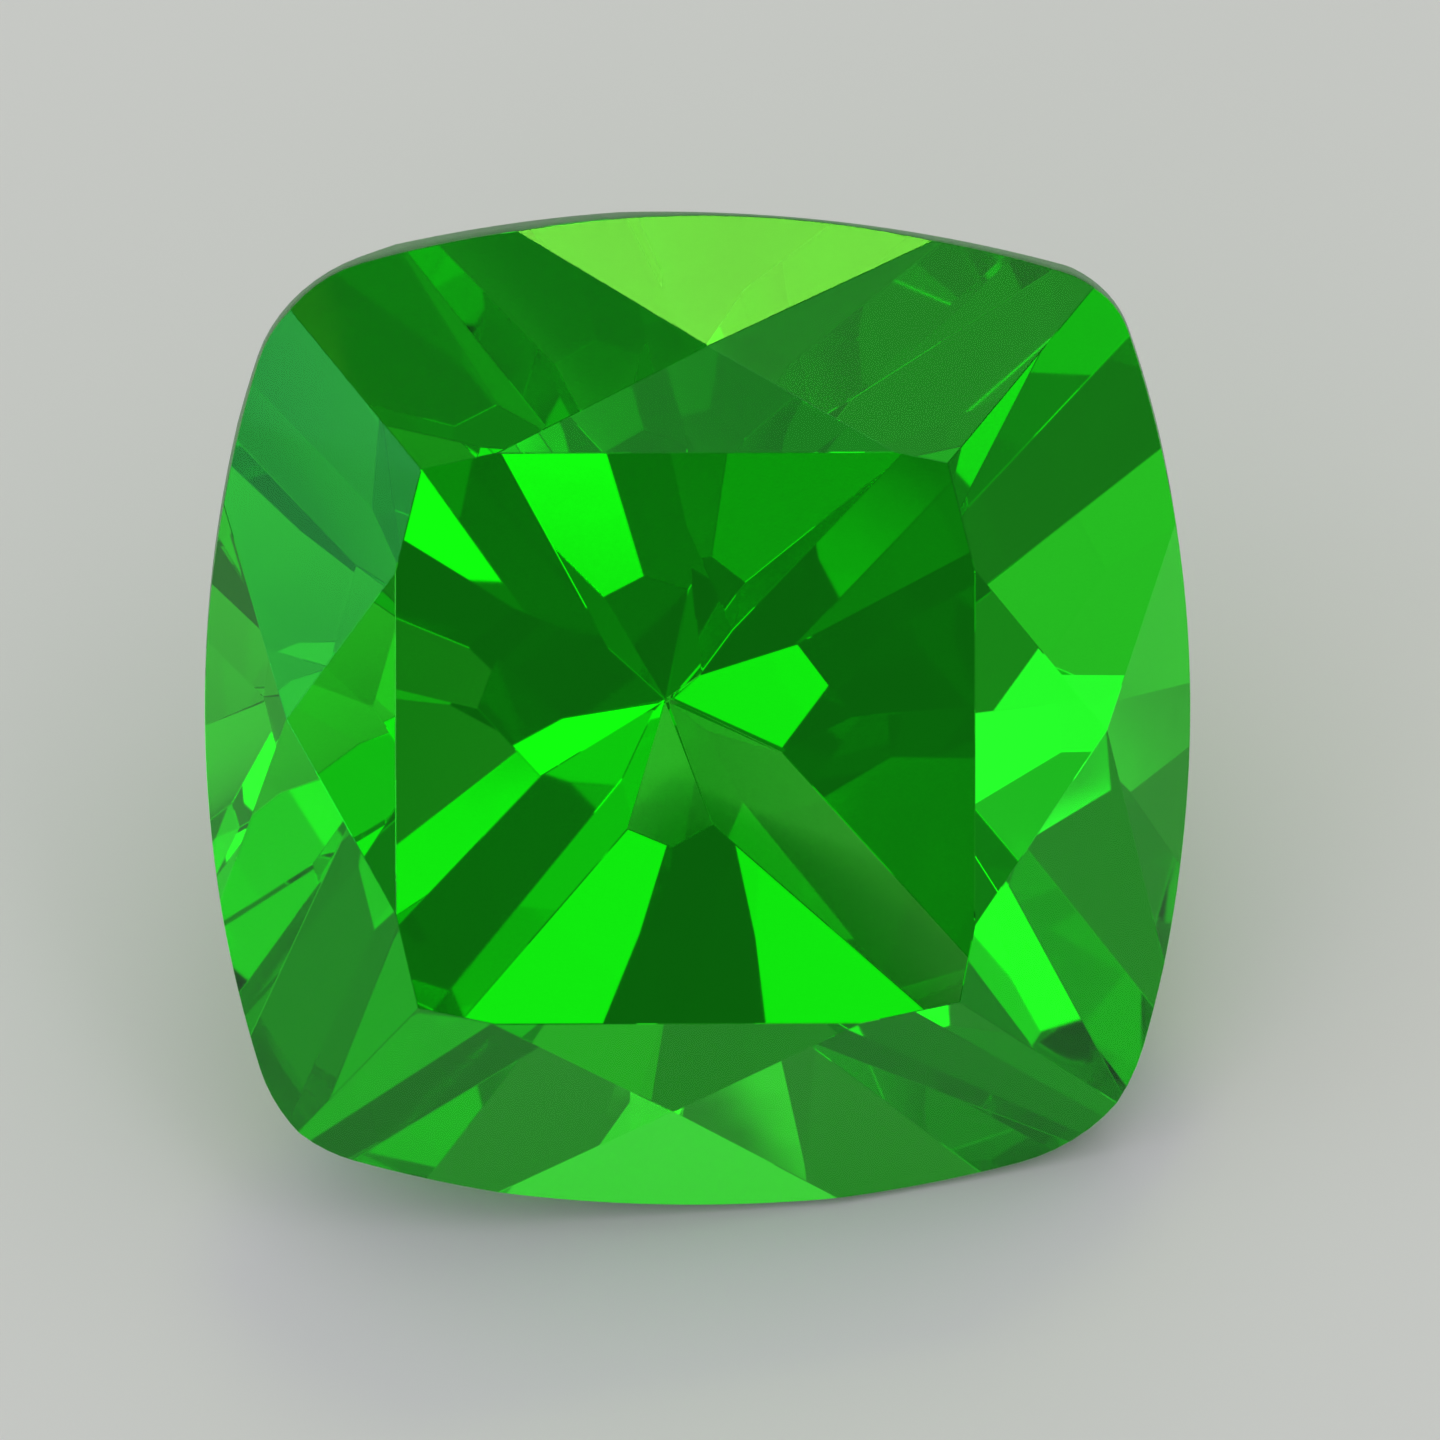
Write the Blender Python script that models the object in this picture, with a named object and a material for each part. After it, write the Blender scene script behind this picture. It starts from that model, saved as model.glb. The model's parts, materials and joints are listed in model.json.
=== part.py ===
"""A loose cushion cut tourmaline, lying on one facet of its pavilion.

The stone is made as a cutter makes it. A cushion-shaped blank is ground to
the table, then to the crown's facets above the girdle and the pavilion's
facets below it, one flat at a time. The stone's own axes are used for this:
x runs east, y runs north and z runs out of the table, and z is zero where the
crown meets the girdle. Azimuths are counted from east towards north, and
slopes from the table's plane. Last, the finished stone is laid down on the
pavilion facet that it rests on, with its table facing the viewer and up.
"""
import math

import bmesh
import bpy
from mathutils import Matrix, Vector

MM = 0.001

NODE_NAME = "tourmaline"
SIDES = ("east", "north", "west", "south")
CORNERS = ("northeast", "northwest", "southwest", "southeast")
CLOCKWISE = -1
COUNTERCLOCKWISE = 1
TURNS = (CLOCKWISE, COUNTERCLOCKWISE)

# The outline: four bowed sides and four rounded corners.
HALF_SPAN = {"east": 4.00 * MM, "north": 4.08 * MM, "west": 4.00 * MM, "south": 4.08 * MM}
SIDE_RADIUS = {"east": 9.9 * MM, "north": 10.3 * MM, "west": 9.9 * MM, "south": 9.9 * MM}
CORNER_RADIUS = {
    "northeast": 0.80 * MM,
    "northwest": 1.20 * MM,
    "southwest": 1.15 * MM,
    "southeast": 1.45 * MM,
}
STEPS_PER_SIDE = 36
STEPS_PER_CORNER = 9

# The crown: a table, and for each side a star, two mains and a girdle triangle.
# A pair holds the clockwise facet and then the counterclockwise one.
TABLE_HEIGHT = 1.24 * MM
TABLE_REACH = {"east": 2.22 * MM, "north": 2.38 * MM, "west": 2.46 * MM, "south": 2.31 * MM}
TABLE_CORNER = {
    "northeast": (2.00 * MM, 2.29 * MM),
    "northwest": (-2.25 * MM, 2.25 * MM),
    "southwest": (-2.28 * MM, -2.18 * MM),
    "southeast": (2.10 * MM, -2.14 * MM),
}
CROWN_MAIN_TURN = {"east": (11.0, 14.0), "north": (12.0, 12.0), "west": (14.0, 13.0), "south": (12.0, 12.0)}
CROWN_MAIN_SLOPE = {"east": (35.3, 37.7), "north": (37.8, 40.3), "west": (40.8, 42.2), "south": (38.3, 39.1)}
CROWN_APEX_REACH = {"east": 3.30 * MM, "north": 3.19 * MM, "west": 3.34 * MM, "south": 3.11 * MM}
GIRDLE_TRIANGLE_REACH = {"east": 3.85 * MM, "north": 3.93 * MM, "west": 3.85 * MM, "south": 3.93 * MM}

# The pavilion: for each side a kite at the culet and two halves above it that
# reach the girdle, and for each corner one long main from culet to girdle.
CULET = (-0.20 * MM, -0.28 * MM)
CULET_DEPTH = 4.68 * MM
KITE_SLOPE = {"east": 42.0, "north": 44.1, "west": 45.6, "south": 41.2}
KITE_TURN = {"east": -0.6, "north": -4.2, "west": -3.2, "south": 0.7}
KITE_REACH = {"east": 1.48 * MM, "north": 1.61 * MM, "west": 1.58 * MM, "south": 1.14 * MM}
HALF_TURN = {"east": (12.2, 4.3), "north": (4.6, 10.2), "west": (1.7, 6.9), "south": (6.0, 8.2)}
HALF_GIRDLE_DEPTH = {
    "east": (0.36 * MM, 0.63 * MM),
    "north": (0.29 * MM, 0.47 * MM),
    "west": (0.56 * MM, 0.43 * MM),
    "south": (0.50 * MM, 0.31 * MM),
}
CORNER_MAIN_TURN = {"northeast": -2.1, "northwest": 1.2, "southwest": -1.3, "southeast": -0.8}
CORNER_MAIN_REACH = {
    "northeast": 0.07 * MM,
    "northwest": 0.12 * MM,
    "southwest": 0.00 * MM,
    "southeast": 0.00 * MM,
}
CORNER_GIRDLE_DEPTH = {
    "northeast": 0.32 * MM,
    "northwest": 0.35 * MM,
    "southwest": 0.65 * MM,
    "southeast": 0.51 * MM,
}

# The pavilion half that the stone rests on.
REST_SIDE = "south"
REST_TURN = COUNTERCLOCKWISE

BLANK_MARGIN = 0.5 * MM
SNAP = 0.01 * MM / 1000
JOIN = 1.0 * MM / 1000

TOURMALINE_GREEN = (0.0, 0.36, 0.02, 1.0)
POLISH_ROUGHNESS = 0.02
TOURMALINE_IOR = 1.63


def side_azimuth(side):
    """Azimuth that a side of the cushion faces."""
    return 90.0 * SIDES.index(side)


def corner_azimuth(corner):
    """Azimuth that a corner of the cushion points to."""
    return 45.0 + 90.0 * CORNERS.index(corner)


def corner_beside(side, turn):
    """The corner at a side's clockwise or counterclockwise end."""
    place = SIDES.index(side)
    return CORNERS[place] if turn == COUNTERCLOCKWISE else CORNERS[place - 1]


def direction(azimuth):
    """Unit vector in the girdle's plane."""
    angle = math.radians(azimuth)
    return Vector((math.cos(angle), math.sin(angle)))


def side_centre(side):
    """Centre of a side's arc."""
    return direction(side_azimuth(side)) * (HALF_SPAN[side] - SIDE_RADIUS[side])


def corner_centre(corner):
    """Centre of the corner's circle, which touches both neighbouring arcs from inside."""
    place = CORNERS.index(corner)
    first = SIDES[place]
    second = SIDES[(place + 1) % 4]
    centre_a = side_centre(first)
    centre_b = side_centre(second)
    reach_a = SIDE_RADIUS[first] - CORNER_RADIUS[corner]
    reach_b = SIDE_RADIUS[second] - CORNER_RADIUS[corner]
    between = centre_b - centre_a
    along = (reach_a ** 2 - reach_b ** 2 + between.length_squared) / (2 * between.length)
    across = math.sqrt(reach_a ** 2 - along ** 2)
    unit = between.normalized()
    foot = centre_a + unit * along
    sideways = Vector((-unit.y, unit.x)) * across
    outward = direction(corner_azimuth(corner))
    return max((foot + sideways, foot - sideways), key=lambda point: point.dot(outward))


def bearing(vector, near):
    """Azimuth of a vector in degrees, within half a turn of the azimuth near."""
    angle = math.degrees(math.atan2(vector.y, vector.x))
    return angle + 360.0 * round((near - angle) / 360.0)


def arc_points(centre, radius, start, end, steps):
    """Points of an arc from start towards end, without the last one."""
    return [centre + direction(start + (end - start) * step / steps) * radius for step in range(steps)]


def outline_points():
    """The cushion outline, counterclockwise: side arc and corner arc in turn."""
    points = []
    for side in SIDES:
        centre = side_centre(side)
        before = corner_centre(corner_beside(side, CLOCKWISE))
        corner = corner_beside(side, COUNTERCLOCKWISE)
        after = corner_centre(corner)
        start = bearing(before - centre, side_azimuth(side))
        end = bearing(after - centre, side_azimuth(side))
        points += arc_points(centre, SIDE_RADIUS[side], start, end, STEPS_PER_SIDE)
        next_side = SIDES[(SIDES.index(side) + 1) % 4]
        corner_end = bearing(after - side_centre(next_side), corner_azimuth(corner))
        points += arc_points(after, CORNER_RADIUS[corner], end, corner_end, STEPS_PER_CORNER)
    return points


def reach_to_outline(origin, azimuth):
    """Distance in the girdle's plane from a point to the outline, along an azimuth."""
    heading = direction(azimuth)
    points = outline_points()
    for start, end in zip(points, points[1:] + points[:1]):
        edge = end - start
        cross = heading.x * edge.y - heading.y * edge.x
        offset = start - origin
        distance = (offset.x * edge.y - offset.y * edge.x) / cross
        share = (offset.x * heading.y - offset.y * heading.x) / cross
        if distance > 0 and 0 <= share <= 1:
            return distance
    raise ValueError("the outline isn't closed around the culet")


def facet(azimuth, slope, reach, height, facing=1, centre=(0.0, 0.0)):
    """A facet's plane: a point on it, and its outward normal.

    The point lies at the given reach from the centre along the azimuth, at the
    given height. facing is 1 on the crown and -1 on the pavilion.
    """
    heading = direction(azimuth)
    tilt = math.radians(slope)
    flat = Vector(centre) + heading * reach
    point = Vector((flat.x, flat.y, height))
    normal = Vector((
        heading.x * math.sin(tilt),
        heading.y * math.sin(tilt),
        facing * math.cos(tilt),
    ))
    return point, normal


def slope_between(reach_in, height_in, reach_out, height_out):
    """Slope in degrees of a flat that joins two places along its own azimuth."""
    return math.degrees(math.atan2(abs(height_out - height_in), reach_out - reach_in))


def crown_main(side, turn):
    """A crown main, which passes through the table's corner."""
    which = TURNS.index(turn)
    azimuth = side_azimuth(side) + turn * CROWN_MAIN_TURN[side][which]
    corner = Vector(TABLE_CORNER[corner_beside(side, turn)])
    reach = corner.dot(direction(azimuth))
    return facet(azimuth, CROWN_MAIN_SLOPE[side][which], reach, TABLE_HEIGHT)


def crown_apex_height(side):
    """Height of the apex where a side's two mains, its star and its triangle meet."""
    heading = direction(side_azimuth(side))
    rows = []
    values = []
    for turn in TURNS:
        point, normal = crown_main(side, turn)
        rows.append(normal)
        values.append(normal.dot(point))
    rows.append(Vector((heading.x, heading.y, 0.0)))
    values.append(CROWN_APEX_REACH[side])
    apex = Matrix(rows).inverted() @ Vector(values)
    return apex.z


def crown_facets():
    """The table, four stars, eight mains and four girdle triangles."""
    facets = [facet(0.0, 0.0, 0.0, TABLE_HEIGHT)]
    for side in SIDES:
        azimuth = side_azimuth(side)
        apex_reach = CROWN_APEX_REACH[side]
        apex_height = crown_apex_height(side)
        table_reach = TABLE_REACH[side]
        base_reach = GIRDLE_TRIANGLE_REACH[side]
        star_slope = slope_between(table_reach, TABLE_HEIGHT, apex_reach, apex_height)
        triangle_slope = slope_between(apex_reach, apex_height, base_reach, 0.0)
        facets.append(facet(azimuth, star_slope, table_reach, TABLE_HEIGHT))
        facets.append(facet(azimuth, triangle_slope, base_reach, 0.0))
        for turn in TURNS:
            facets.append(crown_main(side, turn))
    return facets


def kite(side):
    """The facet beside the culet on one side."""
    azimuth = side_azimuth(side) + KITE_TURN[side]
    return facet(azimuth, KITE_SLOPE[side], 0.0, -CULET_DEPTH, -1, CULET)


def pavilion_half(side, turn):
    """The facet from a kite's tip up to the girdle, on one hand of it."""
    which = TURNS.index(turn)
    swing = HALF_TURN[side][which]
    azimuth = side_azimuth(side) + KITE_TURN[side] + turn * swing
    tip_reach = KITE_REACH[side] * math.cos(math.radians(swing))
    tip_height = KITE_REACH[side] * math.tan(math.radians(KITE_SLOPE[side])) - CULET_DEPTH
    girdle_reach = reach_to_outline(Vector(CULET), azimuth)
    slope = slope_between(tip_reach, tip_height, girdle_reach, -HALF_GIRDLE_DEPTH[side][which])
    return facet(azimuth, slope, tip_reach, tip_height, -1, CULET)


def corner_main(corner):
    """The long facet from the culet to a corner of the girdle."""
    azimuth = corner_azimuth(corner) + CORNER_MAIN_TURN[corner]
    near = CORNER_MAIN_REACH[corner]
    girdle_reach = reach_to_outline(Vector(CULET), azimuth)
    slope = slope_between(near, -CULET_DEPTH, girdle_reach, -CORNER_GIRDLE_DEPTH[corner])
    return facet(azimuth, slope, near, -CULET_DEPTH, -1, CULET)


def pavilion_facets():
    """Four kites, eight halves and four corner mains."""
    facets = [kite(side) for side in SIDES]
    facets += [pavilion_half(side, turn) for side in SIDES for turn in TURNS]
    facets += [corner_main(corner) for corner in CORNERS]
    return facets


def cushion_blank():
    """A block with the girdle's outline, taller than the stone."""
    blank = bmesh.new()
    low = -CULET_DEPTH - BLANK_MARGIN
    height = TABLE_HEIGHT + BLANK_MARGIN - low
    corners = [blank.verts.new((point.x, point.y, low)) for point in outline_points()]
    base = blank.faces.new(corners)
    raised = bmesh.ops.extrude_face_region(blank, geom=[base])
    top = [item for item in raised["geom"] if isinstance(item, bmesh.types.BMVert)]
    bmesh.ops.translate(blank, verts=top, vec=(0.0, 0.0, height))
    bmesh.ops.recalc_face_normals(blank, faces=blank.faces)
    return blank


def grind(stone, point, normal):
    """Grind one flat: take away what stands outside the plane and close the cut."""
    geometry = stone.verts[:] + stone.edges[:] + stone.faces[:]
    bmesh.ops.bisect_plane(
        stone, geom=geometry, dist=SNAP, plane_co=point, plane_no=normal, clear_outer=True)
    rim = [edge for edge in stone.edges if edge.is_boundary]
    bmesh.ops.holes_fill(stone, edges=rim)


def cut_stone():
    """The finished stone in its own axes."""
    stone = cushion_blank()
    for point, normal in crown_facets() + pavilion_facets():
        grind(stone, point, normal)
    bmesh.ops.remove_doubles(stone, verts=stone.verts, dist=JOIN)
    bmesh.ops.recalc_face_normals(stone, faces=stone.faces)
    return stone


def laid_down():
    """Rotation that puts the rest facet flat on the ground and the table towards the viewer."""
    up = -pavilion_half(REST_SIDE, REST_TURN)[1]
    table_normal = Vector((0.0, 0.0, 1.0))
    towards_viewer = (table_normal - up * table_normal.dot(up)).normalized()
    back = -towards_viewer
    right = back.cross(up)
    return Matrix((right, back, up))


def tourmaline_material():
    """Green crystal that light passes through."""
    material = bpy.data.materials.new("green_tourmaline")
    material.use_nodes = True
    shader = material.node_tree.nodes["Principled BSDF"]
    shader.inputs["Base Color"].default_value = TOURMALINE_GREEN
    shader.inputs["Roughness"].default_value = POLISH_ROUGHNESS
    shader.inputs["Metallic"].default_value = 0.0
    shader.inputs["IOR"].default_value = TOURMALINE_IOR
    shader.inputs["Transmission Weight"].default_value = 1.0
    return material


def make_tourmaline():
    """Build the stone, and set it down with the middle of its box's base at the origin."""
    stone = cut_stone()
    mesh = bpy.data.meshes.new(NODE_NAME)
    turn = laid_down()
    places = [turn @ vertex.co for vertex in stone.verts]
    low = Vector([min(place[axis] for place in places) for axis in range(3)])
    high = Vector([max(place[axis] for place in places) for axis in range(3)])
    stone.to_mesh(mesh)
    stone.free()
    tourmaline = bpy.data.objects.new(NODE_NAME, mesh)
    tourmaline.rotation_euler = turn.to_euler()
    tourmaline.location = (-(low.x + high.x) / 2, -(low.y + high.y) / 2, -low.z)
    tourmaline.data.materials.append(tourmaline_material())
    bpy.context.scene.collection.objects.link(tourmaline)
    return tourmaline


def main():
    for old in list(bpy.data.objects):
        bpy.data.objects.remove(old)
    make_tourmaline()


main()
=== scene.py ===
import json
import math

import bpy
import numpy as np
from bpy.props import FloatProperty, FloatVectorProperty, PointerProperty
from bpy.types import Operator, Panel, PropertyGroup
from mathutils import Matrix, Vector


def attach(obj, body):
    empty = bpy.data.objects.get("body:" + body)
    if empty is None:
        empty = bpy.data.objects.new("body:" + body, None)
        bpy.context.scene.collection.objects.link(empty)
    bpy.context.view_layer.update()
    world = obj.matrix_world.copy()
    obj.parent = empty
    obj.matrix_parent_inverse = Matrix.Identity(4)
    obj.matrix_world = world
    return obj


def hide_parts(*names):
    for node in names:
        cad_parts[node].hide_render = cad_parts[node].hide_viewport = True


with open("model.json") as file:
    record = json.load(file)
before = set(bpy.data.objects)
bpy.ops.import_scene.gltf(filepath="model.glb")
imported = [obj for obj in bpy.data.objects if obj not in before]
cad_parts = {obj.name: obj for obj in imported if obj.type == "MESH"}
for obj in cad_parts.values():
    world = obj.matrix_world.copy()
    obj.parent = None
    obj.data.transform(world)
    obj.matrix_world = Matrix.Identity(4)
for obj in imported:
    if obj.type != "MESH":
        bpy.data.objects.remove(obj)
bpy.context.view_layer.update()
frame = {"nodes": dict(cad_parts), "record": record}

bl_info = {
    "name": "Cushion cut tourmaline",
    "version": (1, 0, 0),
    "blender": (4, 5, 0),
    "location": "3D View > Sidebar > Tourmaline",
    "description": "A polished green tourmaline with softened facet edges, in soft light",
    "category": "Object",
}

MM = 0.001
MICRON = 1e-6
STONE_NODE = "tourmaline"
MOUNTS = {mount["name"]: mount for mount in frame["record"]["mounts"]}
TABLE_AXIS = np.array(MOUNTS["table"]["axis"])

# Reading the cut: points this close to a plane are in it, and a facet that stands
# along the table's axis to within this much is part of the girdle, which is ground.
FLATNESS = 0.5 * MICRON
UPRIGHT = 0.02
GROUND = "ground"

# More than there are points or facets, to make one number of several.
MOST_POINTS = 100000

# Where the painted tints end, across the stone, and the sizes of the grain.
# The tints are painted light: bluish for cool reflected light on the left, yellowish for flashes on
# the right.
PAINTED_TINT_REACH = 4 * MM
SMEAR_SIZE = 0.8 * MM
GRIT_SIZE = 0.02 * MM
GRIT_DEPTH = 4 * MICRON
CARD_GRAIN = 3 * MM

# The studio. Azimuth and elevation say where a thing stands, in degrees, seen from
# the stone: azimuth 0 is in front, at -Y, and 90 is to the right, at +X.
SENSOR_WIDTH = 36.0
CAMERA_DISTANCE = 300 * MM
CAMERA_CLIP = (10 * MM, 5000 * MM)
FLOOR_HALF_WIDTH = 1500 * MM
FLOOR_GAP = 4 * MICRON
BOX_DISTANCE = 250 * MM

# Colours of the light: plain, a yellowish green from behind, and a cool one from the left.
WHITE = (1.0, 1.0, 1.0)
FRESH = (0.7, 1.0, 0.12)
COOL = (0.45, 1.0, 1.0)

# Each soft box: azimuth, elevation, the angle that its width fills, radiance, colour.
SOFT_BOXES = (
    (166, 52, 10, 8.00, FRESH),
    (-17, 26, 15, 0.90, WHITE),
    (26, 34, 12, 0.90, WHITE),
    (36, 38, 14, 0.50, WHITE),
    (41, 52, 10, 1.10, WHITE),
    (54, 60, 13, 1.10, WHITE),
    (-69, 60, 10, 1.00, WHITE),
    (-140, 66, 20, 0.45, FRESH),
    (-84, 8, 30, 1.00, COOL),
    (-97, 28, 24, 0.35, COOL),
    (45, 72, 28, 0.40, WHITE),
    (-35, 33, 15, 0.80, WHITE),
    (137, 60, 24, 0.20, FRESH),
    (14, 54, 12, 0.30, WHITE),
    (18, 12, 20, 0.25, WHITE),
    (100, 74, 24, 0.45, WHITE),
    (85, 20, 30, 0.30, WHITE),
    (168, 37, 30, 0.50, WHITE),
)

# Power of a lamp that is one square metre large and has a radiance of one.
WATTS_PER_RADIANCE = math.pi

# The surroundings: their brightness in the stone, with a darker part round one
# direction that fades between two angles, and their brightness everywhere else.
SURROUNDINGS = 0.22
DARKEST = 0.13
DARK_PART = (-0.9, 28.4)
DARK_EDGE = (10.0, 36.0)
WALL = 0.55

LIGHT_BOUNCES = 14
FLOOR_BOUNCES = 2


class StoneSettings(PropertyGroup):
    edge_width: FloatProperty(
        name="Edge width",
        description="How far each facet stops short of its edge, where polishing rounded it",
        default=5 * MICRON, min=0.0, precision=6, unit="LENGTH", subtype="DISTANCE")
    shortest_edge: FloatProperty(
        name="Shortest edge",
        description="An edge of the cut that is shorter than this is closed up before the rounding",
        default=30 * MICRON, min=0.0, precision=6, unit="LENGTH", subtype="DISTANCE")
    tint: FloatVectorProperty(
        name="Tint", description="Tint of the crystal in its middle",
        default=(0.96, 1.0, 0.96), size=3, min=0.0, max=1.0, subtype="COLOR")
    # Painted tint: this bluish green stands in for the cool reflected light on the viewer's left.
    cool_painted_tint: FloatVectorProperty(
        name="Cool tint", description="Bluish green of the zone on the viewer's left",
        default=(0.88, 1.0, 0.98), size=3, min=0.0, max=1.0, subtype="COLOR")
    # Painted tint: this yellowish green stands in for the yellowish flashes on the viewer's right.
    warm_painted_tint: FloatVectorProperty(
        name="Warm tint", description="Yellowish green of the zone on the viewer's right",
        default=(0.98, 1.0, 0.90), size=3, min=0.0, max=1.0, subtype="COLOR")
    sheen: FloatVectorProperty(
        name="Sheen", description="Colour of what the polished facets mirror",
        default=(0.35, 1.0, 0.45), size=3, min=0.0, max=1.0, subtype="COLOR")
    passing: FloatVectorProperty(
        name="Passing colour", description="Colour that the crystal lets through, deep inside it",
        default=(0.17, 0.98, 0.08), size=3, min=0.0, max=1.0, subtype="COLOR")
    density: FloatProperty(
        name="Density", description="How much the crystal takes from the other colours, per metre",
        default=600.0, min=0.0)
    ior: FloatProperty(
        name="IOR", description="How strongly the crystal bends light",
        default=1.63, min=1.0, max=2.5)
    polish: FloatProperty(
        name="Polish", description="Roughness of the cleanest part of a facet",
        default=0.012, min=0.0, max=1.0, subtype="FACTOR")
    smudge: FloatProperty(
        name="Smudge", description="Roughness of the dullest part of a facet",
        default=0.03, min=0.0, max=1.0, subtype="FACTOR")
    frost: FloatProperty(
        name="Frost", description="Roughness of the girdle, which is ground and not polished",
        default=0.35, min=0.0, max=1.0, subtype="FACTOR")


class StudioSettings(PropertyGroup):
    azimuth: FloatProperty(
        name="Azimuth", description="Where the camera stands round the stone",
        default=math.radians(1.25), subtype="ANGLE")
    elevation: FloatProperty(
        name="Elevation", description="How high the camera stands over the floor",
        default=math.radians(49.2), subtype="ANGLE")
    roll: FloatProperty(
        name="Roll", description="How far the camera is turned about its own line of sight",
        default=math.radians(-9.85), subtype="ANGLE")
    target: FloatVectorProperty(
        name="Target", description="The point that the camera looks at",
        default=(0.17 * MM, -0.49 * MM, 3.33 * MM), size=3, precision=6, subtype="TRANSLATION")
    view_width: FloatProperty(
        name="View width", description="Width of what the camera sees, at its target",
        default=11.68 * MM, min=1 * MM, precision=5, unit="LENGTH", subtype="DISTANCE")
    floor_colour: FloatVectorProperty(
        name="Floor", description="Colour of the floor",
        default=(0.80, 0.78, 0.82), size=3, min=0.0, max=1.0, subtype="COLOR")
    brightness: FloatProperty(
        name="Brightness", description="Brightness of all the soft boxes together",
        default=1.0, min=0.0)


def unit_rows(vectors):
    """Each row of an array, divided by its own length."""
    return vectors / np.linalg.norm(vectors, axis=1, keepdims=True)


def towards(azimuth, elevation):
    """Unit vector from the stone to a place in the studio, both angles in radians."""
    flat = math.cos(elevation)
    return Vector((math.sin(azimuth) * flat, -math.cos(azimuth) * flat, math.sin(elevation)))


def solid_triangles(node):
    """A CAD solid's merged points, and its triangles as rows of three point numbers."""
    mesh = node.data
    mesh.calc_loop_triangles()
    loose = np.empty(len(mesh.vertices) * 3, np.float32)
    mesh.vertices.foreach_get("co", loose)
    corners = np.empty(len(mesh.loop_triangles) * 3, np.int32)
    mesh.loop_triangles.foreach_get("vertices", corners)
    points, merged = np.unique(loose.reshape(-1, 3), axis=0, return_inverse=True)
    return points.astype(float), merged.reshape(-1)[corners].reshape(-1, 3)


def spread_labels(labels, first, second):
    """Every linked pair takes its lower label, over and over, until no label changes."""
    while True:
        lower = np.minimum(labels[first], labels[second])
        spread = labels.copy()
        np.minimum.at(spread, first, lower)
        np.minimum.at(spread, second, lower)
        if np.array_equal(spread, labels):
            return labels
        labels = spread


def look_up(keys, wanted):
    """Where each wanted key stands in keys, all of which are different."""
    order = np.argsort(keys)
    found = order[np.searchsorted(keys[order], wanted) % len(order)]
    if not np.array_equal(keys[found], wanted):
        raise RuntimeError("the stone's surface isn't closed")
    return found


def twins(start, end):
    """For each directed edge, the number of the one that runs the other way."""
    count = 1 + max(start.max(), end.max())
    return look_up(start * count + end, end * count + start)


def facets_of(points, triangles):
    """Which facet each triangle is on, counted from 0.

    The largest triangle that is left gives a plane, and every triangle whose
    three points lie in that plane is taken away, until none is left. Then each
    triangle goes to the plane that its points lie nearest to.
    """
    corners = points[triangles]
    cross = np.cross(corners[:, 1] - corners[:, 0], corners[:, 2] - corners[:, 0])
    doubled_area = np.linalg.norm(cross, axis=1)
    left = doubled_area.copy()
    normals = []
    offsets = []
    while left.any():
        largest = left.argmax()
        normal = cross[largest] / doubled_area[largest]
        offset = corners[largest, 0] @ normal
        left[np.abs(corners @ normal - offset).max(axis=1) < FLATNESS] = 0.0
        normals.append(normal)
        offsets.append(offset)
    gap = np.abs(corners @ np.transpose(normals) - offsets).max(axis=1)
    return np.unique(gap.argmin(axis=1), return_inverse=True)[1].reshape(-1)


def facet_planes(points, triangles, facet):
    """Each facet's outward normal and offset, where a large triangle counts for more."""
    corners = points[triangles]
    cross = np.cross(corners[:, 1] - corners[:, 0], corners[:, 2] - corners[:, 0])
    normal = np.zeros((facet.max() + 1, 3))
    np.add.at(normal, facet, cross)
    normal = unit_rows(normal)
    weight = np.linalg.norm(cross, axis=1)
    height = (corners.mean(axis=1) * normal[facet]).sum(axis=1)
    offset = np.bincount(facet, height * weight) / np.bincount(facet, weight)
    return normal, offset


def three_keys(first, second, third):
    """One number for each row of three point or facet numbers."""
    return (first * MOST_POINTS + second) * MOST_POINTS + third


def close_short_edges(points, start, end, shortest, weight):
    """Point numbers after the ends of each short edge have joined, at the end of more weight."""
    order = np.argsort(-weight, kind="stable")
    rank = np.argsort(order)
    length = np.linalg.norm(points[end] - points[start], axis=1)
    short = length < shortest
    joined = spread_labels(rank, start[short], end[short])
    return order[joined]


def facet_borders(points, triangles, facet, polished, shortest):
    """The directed edges that go round the facets: start, facet, and the edge that follows."""
    start = triangles.reshape(-1)
    end = np.roll(triangles, -1, axis=1).reshape(-1)
    owner = np.repeat(facet, 3)
    border = owner != owner[twins(start, end)]
    start, end, owner = start[border], end[border], owner[border]
    weight = np.bincount(start, polished[owner], minlength=len(points))
    joined = close_short_edges(points, start, end, shortest, weight)
    start, end = joined[start], joined[end]
    folded = np.isin(three_keys(owner, start, end), three_keys(owner, end, start))
    lasting = (start != end) & ~folded
    start, end, owner = start[lasting], end[lasting], owner[lasting]
    following = look_up(owner * len(points) + start, owner * len(points) + end)
    meeting = np.bincount(start, minlength=len(points))
    passed = meeting[start] < 3
    while passed[following].any():
        following = np.where(passed[following], following[following], following)
    kept = ~passed
    renumber = np.cumsum(kept) - 1
    return start[kept], owner[kept], renumber[following[kept]]


def rings(following, label):
    """Closed rings of edge numbers, one for each label, by stepping along what follows."""
    first = np.unique(label, return_index=True)[1]
    place = first
    going = np.ones(len(first), bool)
    columns = []
    while going.any():
        if len(columns) > len(following):
            raise RuntimeError("a facet's border doesn't close")
        columns.append(np.where(going, place, -1))
        place = following[place]
        going &= place != first
    return [row[row >= 0] for row in np.stack(columns, axis=1)]


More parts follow.
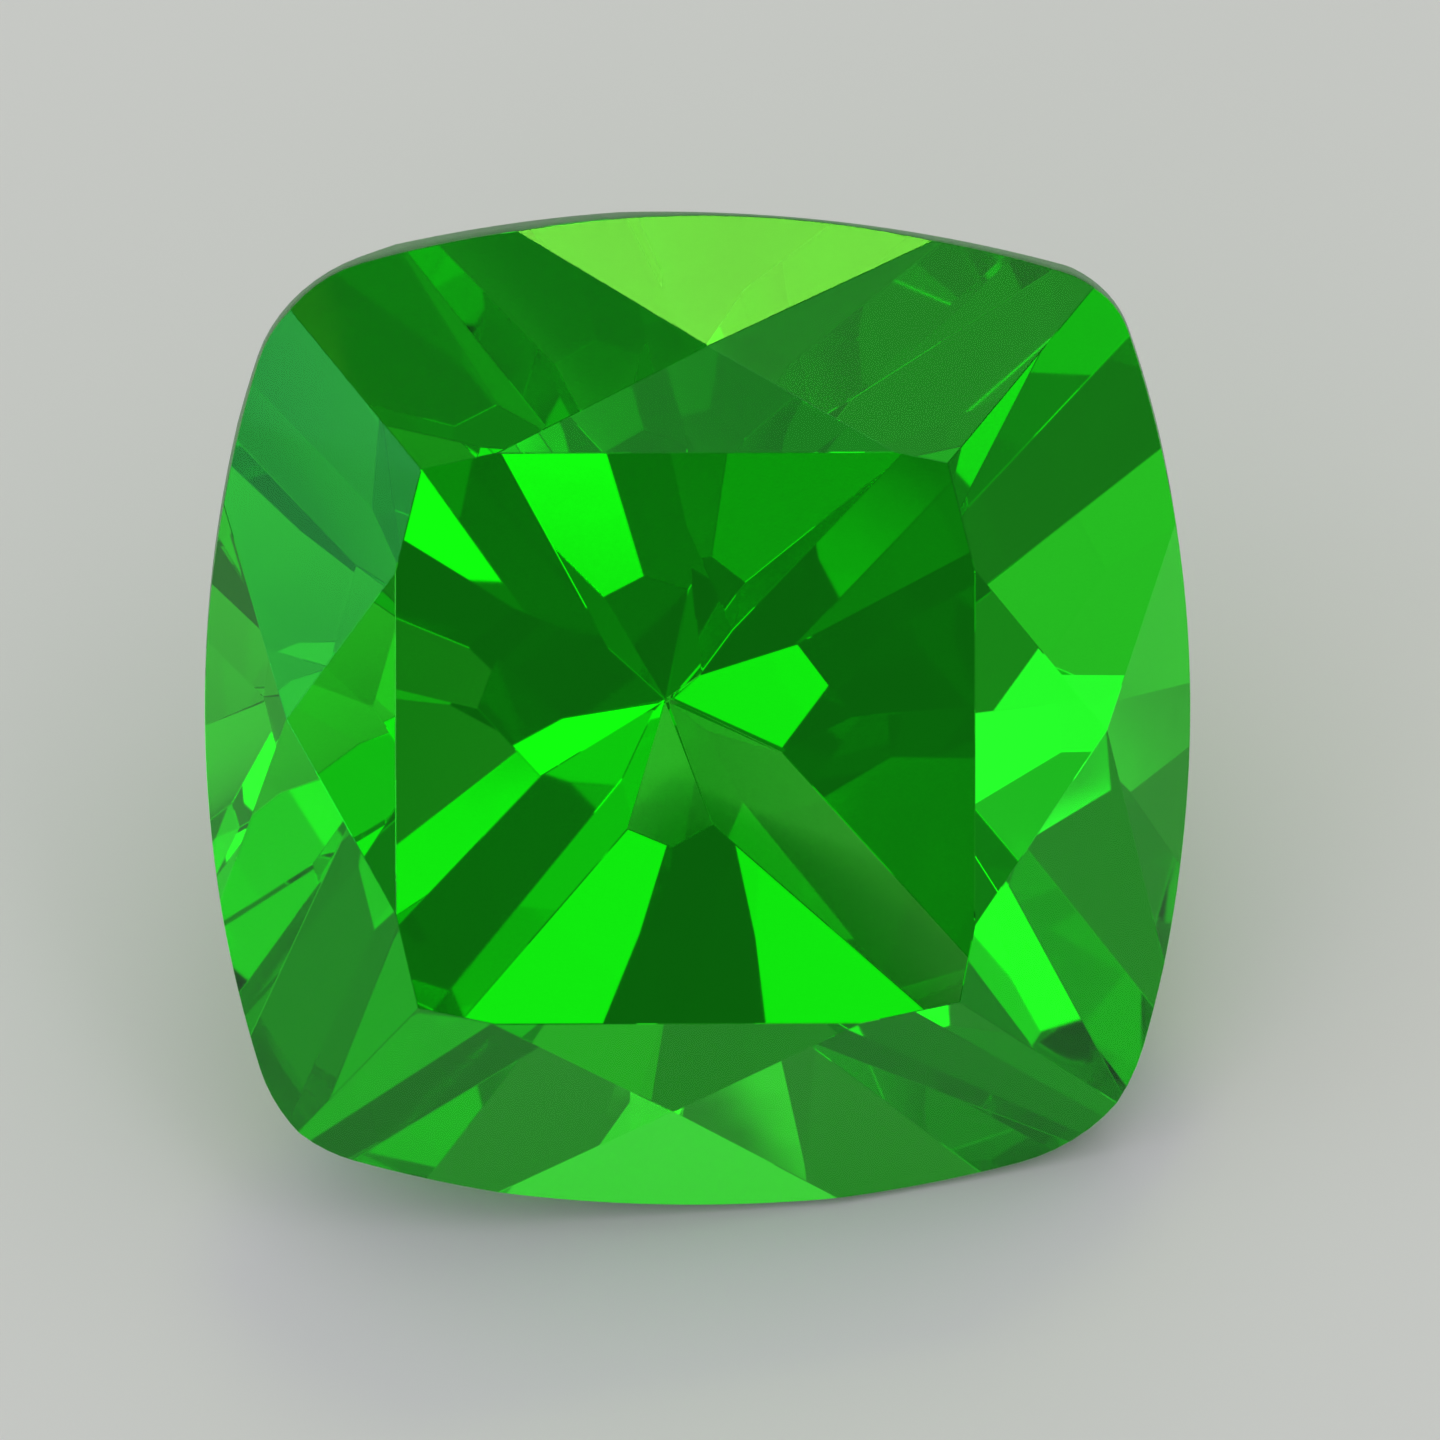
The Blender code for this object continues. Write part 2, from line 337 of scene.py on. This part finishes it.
def softened_stone(node, width, shortest):
    """The CAD stone with a narrow bevel along every edge: points, faces, and what is ground.

    Each facet keeps its plane and draws its border in by the width: a corner
    moves along the sum of its two edges' inward directions, divided by one
    plus their product. A quad joins the two facets along each edge, and a
    small polygon closes each point where facets meet.
    """
    points, triangles = solid_triangles(node)
    facet = facets_of(points, triangles)
    normal, offset = facet_planes(points, triangles, facet)
    ground = np.abs(normal @ TABLE_AXIS) < UPRIGHT
    start, owner, following = facet_borders(points, triangles, facet, ~ground, shortest)
    end = start[following]
    twin = twins(start, end)
    before = np.empty_like(following)
    before[following] = np.arange(len(following))
    along = unit_rows(points[end] - points[start])
    inward = unit_rows(np.cross(normal[owner], along))
    bend = 1 + (inward * inward[before]).sum(axis=1)
    corner = points[start] + width * (inward + inward[before]) / bend[:, None]
    lift = (corner * normal[owner]).sum(axis=1) - offset[owner]
    corner -= lift[:, None] * normal[owner]
    if ((corner[following] - corner) * along).sum(axis=1).min() <= 0:
        raise RuntimeError("a facet is too small for the edge width")

    faces = rings(following, owner)
    in_ground = [ground[owner[ring[0]]] for ring in faces]
    edge = np.flatnonzero(np.arange(len(twin)) < twin)
    other = twin[edge]
    faces += list(np.stack((following[edge], edge, following[other], other), axis=1))
    in_ground += list(ground[owner[edge]] & ground[owner[other]])
    faces += rings(twin[before], start)
    all_ground = np.ones(len(points), bool)
    np.logical_and.at(all_ground, start, ground[owner])
    in_ground += list(all_ground[np.unique(start)])
    return corner, faces, np.array(in_ground, bool)


def face_attribute(mesh, name, values):
    """Store one number for each face."""
    layer = mesh.attributes.new(name, "FLOAT", "FACE")
    layer.data.foreach_set("value", np.ascontiguousarray(values, np.float32))


def add_node(tree, kind, **inputs):
    """A shader node with its unlinked inputs set; underscores in a name stand for spaces."""
    node = tree.nodes.new(kind)
    for name, value in inputs.items():
        node.inputs[name.replace("_", " ")].default_value = value
    return node


def rgba(colour):
    """A colour with full alpha."""
    return (*colour, 1.0)


def fine_grain_group():
    """Node group: noise in metres, spread between a low and a high value."""
    name = "fine_grain"
    if name in bpy.data.node_groups:
        return bpy.data.node_groups[name]
    group = bpy.data.node_groups.new(name, "ShaderNodeTree")
    sockets = (("Vector", "NodeSocketVector"), ("Grain Size", "NodeSocketFloat"),
               ("Low", "NodeSocketFloat"), ("High", "NodeSocketFloat"))
    for label, kind in sockets:
        group.interface.new_socket(label, in_out="INPUT", socket_type=kind)
    group.interface.new_socket("Value", in_out="OUTPUT", socket_type="NodeSocketFloat")
    given = group.nodes.new("NodeGroupInput")
    result = group.nodes.new("NodeGroupOutput")
    scale = group.nodes.new("ShaderNodeMath")
    scale.operation = "DIVIDE"
    scale.inputs[0].default_value = 1.0
    noise = add_node(group, "ShaderNodeTexNoise", Detail=4.0, Roughness=0.6)
    spread = add_node(group, "ShaderNodeMapRange", From_Min=0.3, From_Max=0.7)
    group.links.new(given.outputs["Grain Size"], scale.inputs[1])
    group.links.new(given.outputs["Vector"], noise.inputs["Vector"])
    group.links.new(scale.outputs[0], noise.inputs["Scale"])
    group.links.new(noise.outputs["Fac"], spread.inputs["Value"])
    group.links.new(given.outputs["Low"], spread.inputs["To Min"])
    group.links.new(given.outputs["High"], spread.inputs["To Max"])
    group.links.new(spread.outputs["Result"], result.inputs["Value"])
    return group


def fine_grain(tree, vector, size, low, high):
    """Place the grain group in a material, and give back its output."""
    node = tree.nodes.new("ShaderNodeGroup")
    node.node_tree = fine_grain_group()
    tree.links.new(vector, node.inputs["Vector"])
    node.inputs["Grain Size"].default_value = size
    node.inputs["Low"].default_value = low
    node.inputs["High"].default_value = high
    return node.outputs["Value"]


def mix_value(tree, factor, low, high):
    """Low where the factor is 0 and high where it is 1; low may be a socket."""
    mix = tree.nodes.new("ShaderNodeMix")
    mix.data_type = "FLOAT"
    tree.links.new(factor, mix.inputs["Factor"])
    for socket, value in (("A", low), ("B", high)):
        if isinstance(value, bpy.types.NodeSocket):
            tree.links.new(value, mix.inputs[socket])
        else:
            mix.inputs[socket].default_value = value
    return mix.outputs["Result"]


def new_material(name):
    """An empty node material, with its output."""
    material = bpy.data.materials.new(name)
    material.use_nodes = True
    material.node_tree.nodes.clear()
    return material, material.node_tree.nodes.new("ShaderNodeOutputMaterial")


def crystal_material(settings):
    """Clear green crystal.

    Its colour comes from the depth of crystal that the light crosses, with a
    painted bluish tint on one side and a painted yellowish one on the other,
    which stand in for cool reflected light and yellowish flashes. The facets
    are polished, with faint smears, and the girdle is ground to a frost.
    """
    material, output = new_material("green_tourmaline")
    tree = material.node_tree
    place = tree.nodes.new("ShaderNodeTexCoord").outputs["Object"]
    shader = add_node(
        tree, "ShaderNodeBsdfPrincipled",
        Metallic=0.0, IOR=settings.ior, Transmission_Weight=1.0,
        Specular_Tint=rgba(settings.sheen))

    # Painted tints across the stone: bluish on the left and yellowish on the right, in place of
    # cool reflected light and yellowish flashes.
    across = tree.nodes.new("ShaderNodeSeparateXYZ")
    tree.links.new(place, across.inputs["Vector"])
    zone = add_node(tree, "ShaderNodeMapRange", From_Min=-PAINTED_TINT_REACH, From_Max=PAINTED_TINT_REACH)
    tree.links.new(across.outputs["X"], zone.inputs["Value"])
    ramp = tree.nodes.new("ShaderNodeValToRGB")
    ramp.color_ramp.elements[0].color = rgba(settings.cool_painted_tint)
    ramp.color_ramp.elements[1].color = rgba(settings.warm_painted_tint)
    ramp.color_ramp.elements.new(0.5).color = rgba(settings.tint)
    tree.links.new(zone.outputs["Result"], ramp.inputs["Fac"])
    tree.links.new(ramp.outputs["Color"], shader.inputs["Base Color"])

    ground = tree.nodes.new("ShaderNodeAttribute")
    ground.attribute_name = GROUND
    smear = fine_grain(tree, place, SMEAR_SIZE, settings.polish, settings.smudge)
    roughness = mix_value(tree, ground.outputs["Fac"], smear, settings.frost)
    tree.links.new(roughness, shader.inputs["Roughness"])

    grit = fine_grain(tree, place, GRIT_SIZE, 0.0, 1.0)
    height = mix_value(tree, ground.outputs["Fac"], 0.0, grit)
    bump = add_node(tree, "ShaderNodeBump", Strength=0.6, Distance=GRIT_DEPTH)
    tree.links.new(height, bump.inputs["Height"])
    tree.links.new(bump.outputs["Normal"], shader.inputs["Normal"])

    depth = add_node(
        tree, "ShaderNodeVolumeAbsorption", Color=rgba(settings.passing), Density=settings.density)
    tree.links.new(shader.outputs["BSDF"], output.inputs["Surface"])
    tree.links.new(depth.outputs["Volume"], output.inputs["Volume"])
    return material


def floor_material(settings):
    """Pale matt card with a faint unevenness."""
    material, output = new_material("pale_card")
    tree = material.node_tree
    place = tree.nodes.new("ShaderNodeTexCoord").outputs["Object"]
    shader = add_node(
        tree, "ShaderNodeBsdfPrincipled",
        Base_Color=rgba(settings.floor_colour), Specular_IOR_Level=0.2)
    tree.links.new(fine_grain(tree, place, CARD_GRAIN, 0.75, 0.85), shader.inputs["Roughness"])
    tree.links.new(shader.outputs["BSDF"], output.inputs["Surface"])
    return material


def add_floor(settings):
    """A level square under the stone, an air gap below the facet that it lies on."""
    turns = ((-1, -1), (1, -1), (1, 1), (-1, 1))
    corners = [(x * FLOOR_HALF_WIDTH, y * FLOOR_HALF_WIDTH, -FLOOR_GAP) for x, y in turns]
    mesh = bpy.data.meshes.new("floor")
    mesh.from_pydata(corners, [], [(0, 1, 2, 3)])
    mesh.materials.append(floor_material(settings))
    floor = bpy.data.objects.new("floor", mesh)
    bpy.context.scene.collection.objects.link(floor)


def add_soft_box(azimuth, elevation, width, radiance, colour):
    """A round soft box that faces the stone; its width is the angle that it fills there."""
    light = bpy.data.lights.new("soft_box", "AREA")
    light.color = colour
    light.shape = "DISK"
    light.size = 2 * BOX_DISTANCE * math.tan(math.radians(width) / 2)
    area = math.pi * light.size ** 2 / 4
    light.energy = radiance * area * WATTS_PER_RADIANCE
    box = bpy.data.objects.new("soft_box", light)
    back = towards(math.radians(azimuth), math.radians(elevation))
    box.location = back * BOX_DISTANCE
    box.rotation_euler = back.to_track_quat("Z", "Y").to_euler()
    box.visible_camera = False
    bpy.context.scene.collection.objects.link(box)


def add_world():
    """Even surroundings: a pale wall to the camera and the floor, and dimmer in the stone.

    What the stone meets of them is darkest round the direction that its table
    mirrors to the camera.
    """
    world = bpy.data.worlds.new("studio")
    world.use_nodes = True
    tree = world.node_tree
    tree.nodes.clear()
    place = tree.nodes.new("ShaderNodeTexCoord").outputs["Generated"]
    near = tree.nodes.new("ShaderNodeVectorMath")
    near.operation = "DOT_PRODUCT"
    near.inputs[1].default_value = towards(*map(math.radians, DARK_PART))
    tree.links.new(place, near.inputs[0])
    fade = add_node(
        tree, "ShaderNodeMapRange",
        From_Min=math.cos(math.radians(DARK_EDGE[1])),
        From_Max=math.cos(math.radians(DARK_EDGE[0])),
        To_Min=SURROUNDINGS, To_Max=DARKEST)
    fade.interpolation_type = "SMOOTHSTEP"
    tree.links.new(near.outputs["Value"], fade.inputs["Value"])
    around = add_node(tree, "ShaderNodeBackground", Color=rgba(WHITE))
    tree.links.new(fade.outputs["Result"], around.inputs["Strength"])
    wall = add_node(tree, "ShaderNodeBackground", Color=rgba(WHITE), Strength=WALL)
    ray = tree.nodes.new("ShaderNodeLightPath")
    plain = tree.nodes.new("ShaderNodeMath")
    plain.operation = "MAXIMUM"
    tree.links.new(ray.outputs["Is Camera Ray"], plain.inputs[0])
    tree.links.new(ray.outputs["Is Diffuse Ray"], plain.inputs[1])
    mix = tree.nodes.new("ShaderNodeMixShader")
    output = tree.nodes.new("ShaderNodeOutputWorld")
    tree.links.new(plain.outputs["Value"], mix.inputs["Fac"])
    tree.links.new(around.outputs["Background"], mix.inputs[1])
    tree.links.new(wall.outputs["Background"], mix.inputs[2])
    tree.links.new(mix.outputs["Shader"], output.inputs["Surface"])
    bpy.context.scene.world = world


def add_camera(settings):
    """A long lens that looks at the target, turned about its line of sight by the roll."""
    data = bpy.data.cameras.new("camera")
    data.sensor_width = SENSOR_WIDTH
    data.lens = SENSOR_WIDTH * CAMERA_DISTANCE / settings.view_width
    data.clip_start, data.clip_end = CAMERA_CLIP
    camera = bpy.data.objects.new("camera", data)
    back = towards(settings.azimuth, settings.elevation)
    level = Vector((0.0, 0.0, 1.0)).cross(back).normalized()
    upright = back.cross(level)
    right = level * math.cos(settings.roll) + upright * math.sin(settings.roll)
    up = back.cross(right)
    turn = Matrix((right, up, back)).transposed()
    place = Vector(settings.target) + back * CAMERA_DISTANCE
    camera.matrix_world = Matrix.Translation(place) @ turn.to_4x4()
    bpy.context.scene.collection.objects.link(camera)
    bpy.context.scene.camera = camera


def set_light_paths():
    """Enough bounces for light that goes round inside the stone, and plain colour."""
    scene = bpy.context.scene
    cycles = scene.cycles
    cycles.max_bounces = LIGHT_BOUNCES
    cycles.transmission_bounces = LIGHT_BOUNCES
    cycles.glossy_bounces = LIGHT_BOUNCES
    cycles.diffuse_bounces = FLOOR_BOUNCES
    cycles.use_light_tree = False
    scene.view_settings.view_transform = "Standard"


class TOURMALINE_OT_stone(Operator):
    """Make the polished stone on the CAD solid's own facets, with softened edges"""
    bl_idname = "tourmaline.stone"
    bl_label = "Stone"

    def execute(self, context):
        settings = context.scene.tourmaline_stone
        node = frame["nodes"][STONE_NODE]
        points, faces, ground = softened_stone(
            node, settings.edge_width, settings.shortest_edge)
        mesh = bpy.data.meshes.new("cushion_cut_stone")
        mesh.from_pydata(points.tolist(), [], [face.tolist() for face in faces])
        mesh.polygons.foreach_set("use_smooth", ground)
        face_attribute(mesh, GROUND, ground)
        if mesh.validate():
            raise RuntimeError("the stone's mesh has a fault")
        mesh.materials.append(crystal_material(settings))
        stone = bpy.data.objects.new("cushion_cut_stone", mesh)
        context.scene.collection.objects.link(stone)
        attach(stone, "root")
        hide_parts(STONE_NODE)
        return {"FINISHED"}


class TOURMALINE_OT_stage(Operator):
    """Set out the floor, the soft boxes, the surroundings and the camera"""
    bl_idname = "tourmaline.stage"
    bl_label = "Stage"

    def execute(self, context):
        settings = context.scene.tourmaline_studio
        add_floor(settings)
        for azimuth, elevation, width, radiance, colour in SOFT_BOXES:
            add_soft_box(azimuth, elevation, width, radiance * settings.brightness, colour)
        add_world()
        add_camera(settings)
        set_light_paths()
        return {"FINISHED"}


class TOURMALINE_PT_panel(Panel):
    bl_label = "Cushion cut tourmaline"
    bl_space_type = "VIEW_3D"
    bl_region_type = "UI"
    bl_category = "Tourmaline"

    def draw(self, context):
        for settings, operator in (
                (context.scene.tourmaline_stone, TOURMALINE_OT_stone),
                (context.scene.tourmaline_studio, TOURMALINE_OT_stage)):
            box = self.layout.box()
            for name in settings.__annotations__:
                box.prop(settings, name)
            box.operator(operator.bl_idname)


CLASSES = (
    StoneSettings, StudioSettings,
    TOURMALINE_OT_stone, TOURMALINE_OT_stage, TOURMALINE_PT_panel)


def register():
    for cls in CLASSES:
        bpy.utils.register_class(cls)
    bpy.types.Scene.tourmaline_stone = PointerProperty(type=StoneSettings)
    bpy.types.Scene.tourmaline_studio = PointerProperty(type=StudioSettings)


def unregister():
    del bpy.types.Scene.tourmaline_studio
    del bpy.types.Scene.tourmaline_stone
    for cls in reversed(CLASSES):
        bpy.utils.unregister_class(cls)


def main():
    register()
    bpy.ops.tourmaline.stone()
    bpy.ops.tourmaline.stage()


if __name__ == "__main__":
    main()
